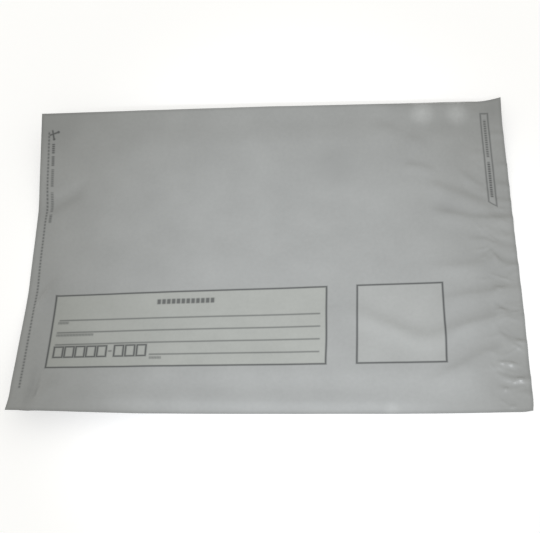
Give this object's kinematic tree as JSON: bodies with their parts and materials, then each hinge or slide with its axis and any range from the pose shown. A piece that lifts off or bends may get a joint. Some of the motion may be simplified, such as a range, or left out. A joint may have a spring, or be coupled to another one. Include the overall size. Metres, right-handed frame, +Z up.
{
  "type": "poly mailer bag",
  "caption": "Closed flat film mailer bag with welded sides, long sides curling up, a gathered sealed end and a printed address form.",
  "frame": {"origin": "on the table under the middle of the bag's plan", "axes": "+X along the bag towards the gathered sealed end, +Y towards the far long side (top of the printed form), +Z up"},
  "size_m": [0.36, 0.258, 0.0226],
  "materials": {
    "film": "satin grey polyethylene film with thin dark grey print"
  },
  "bodies": {
    "root": {"mailer_bag": "film"}
  },
  "joints": []
}
